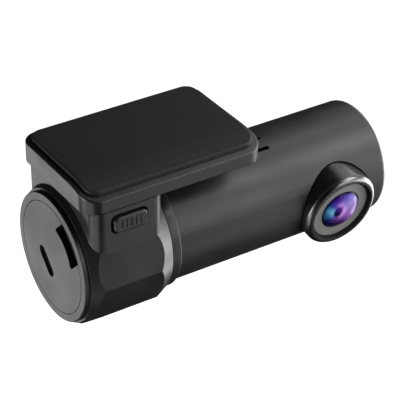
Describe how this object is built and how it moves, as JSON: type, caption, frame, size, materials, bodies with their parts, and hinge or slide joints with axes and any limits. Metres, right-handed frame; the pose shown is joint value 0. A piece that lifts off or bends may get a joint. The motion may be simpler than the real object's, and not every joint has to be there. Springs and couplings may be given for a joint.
{
  "type": "dash camera",
  "caption": "Round-bodied dash camera that turns in a faceted holder, which slides onto a flat windscreen plate and is held by a press-to-release catch.",
  "frame": {"origin": "middle of the adhesive face, where the windscreen touches the pad", "axes": "+Z out of the adhesive face, up to the windscreen; +X along the camera tube, from the port end to the lens end; the lens looks along -Y, 11.4 degrees down"},
  "size_m": [0.0986, 0.0412, 0.0481],
  "materials": {
    "plate_black": "moulded black, fine satin",
    "adhesive_foam": "black foam tape, matte",
    "housing_black": "moulded black, fine texture",
    "tube_black": "moulded black, soft satin",
    "cap_black": "moulded black, fine texture",
    "button_black": "moulded black, satin",
    "friction_rubber": "matte rubber",
    "spring_steel": "drawn spring wire",
    "nozzle_black": "black anodised, satin",
    "shade_black": "deep black, matte",
    "face_grey": "warm grey, satin",
    "coated_glass": "polished, blue and violet coating",
    "inner_glass": "polished, clear",
    "filter_glass": "polished, pale cyan tint",
    "sensor_chip": "glossy dark silicon under its window",
    "circuit_board": "green solder mask",
    "ribbon_film": "amber polyimide film",
    "cradle_plastic": "grey moulded",
    "screw_steel": "zinc plated",
    "chip_black": "moulded epoxy",
    "heat_aluminium": "extruded, dull",
    "shield_steel": "pressed, tinned",
    "socket_steel": "pressed, bright",
    "antenna_brass": "plated strip",
    "capacitor_sleeve": "dark blue shrink sleeve",
    "speaker_paper": "black pressed paper",
    "link_plastic": "cream connector body",
    "card_plastic": "moulded black"
  },
  "bodies": {
    "mount": {"mount_plate": "plate_black", "adhesive_pad": "adhesive_foam"},
    "holder": {"holder_body": "housing_black", "friction_ring": "friction_rubber"},
    "lock": {"lock_button": "button_black", "lock_spring": "spring_steel"},
    "camera": {"tube_shell": "tube_black", "collar_ring": "housing_black", "end_cap": "cap_black", "end_cover": "cap_black", "lens_nozzle": "nozzle_black", "shade_ring": "shade_black", "face_disc": "face_grey", "front_lens": "coated_glass", "lens_barrel": "shade_black", "iris_ring": "shade_black", "second_lens": "inner_glass", "rear_lens": "inner_glass", "lens_seat": "shade_black", "infrared_filter": "filter_glass", "image_sensor": "sensor_chip", "sensor_board": "circuit_board", "sensor_ribbon": "ribbon_film", "main_board": "circuit_board", "board_cradle": "cradle_plastic", "board_screws": "screw_steel", "main_processor": "chip_black", "heat_spreader": "heat_aluminium", "memory_chip": "chip_black", "radio_module": "shield_steel", "antenna_strip": "antenna_brass", "power_coil": "chip_black", "capacitor_front": "capacitor_sleeve", "capacitor_back": "capacitor_sleeve", "speaker_can": "shield_steel", "speaker_cone": "speaker_paper", "microphone": "shield_steel", "usb_socket": "socket_steel", "usb_tongue": "chip_black", "card_board": "circuit_board", "card_socket": "socket_steel", "board_link": "link_plastic"},
    "card": {"memory_card": "card_plastic"}
  },
  "joints": [
    {"name": "holder_slide", "type": "slide", "parent": "mount", "child": "holder", "axis": [1, 0, 0], "range_m": [0, 0.053]},
    {"name": "camera_turn", "type": "hinge", "parent": "holder", "child": "camera", "pos_m": [-0.01407, 0, -0.02892], "axis": [1, 0, 0], "continuous": true},
    {"name": "lock_press", "type": "slide", "parent": "holder", "child": "lock", "axis": [0, 1, 0], "range_m": [0, 0.0013], "stiffness_N_per_m": 900, "springref_m": -0.0008, "deforming": ["lock_spring"]},
    {"name": "card_slide", "type": "slide", "parent": "camera", "child": "card", "axis": [-1, 0, 0], "range_m": [0, 0.017]}
  ]
}
